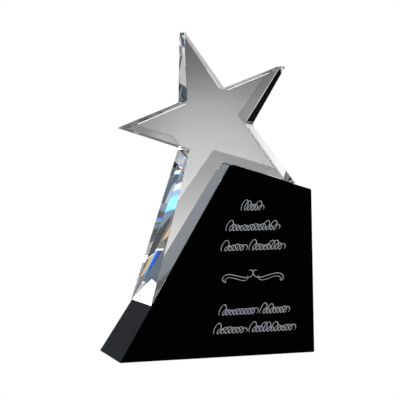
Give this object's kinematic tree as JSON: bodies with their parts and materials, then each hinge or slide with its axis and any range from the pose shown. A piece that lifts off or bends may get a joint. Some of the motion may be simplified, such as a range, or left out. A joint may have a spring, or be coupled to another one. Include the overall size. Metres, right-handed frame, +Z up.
{
  "type": "crystal star award",
  "caption": "Clear crystal star bonded onto the slopes of a black crystal block, tapering from a thick foot to a thin top; free-standing award.",
  "frame": {"origin": "on the table, at the middle of the block's footprint", "axes": "+Z up, front face towards -Y, the viewer's right towards +X"},
  "size_m": [0.153, 0.0584, 0.241],
  "materials": {
    "clear_crystal": "polished, clear",
    "black_crystal": "polished, opaque black",
    "adhesive": "cured clear optical adhesive"
  },
  "bodies": {
    "root": {"crystal_star": "clear_crystal", "base_block": "black_crystal", "bond_film_long_ray": "adhesive", "bond_film_lower_right_ray": "adhesive"}
  },
  "joints": []
}
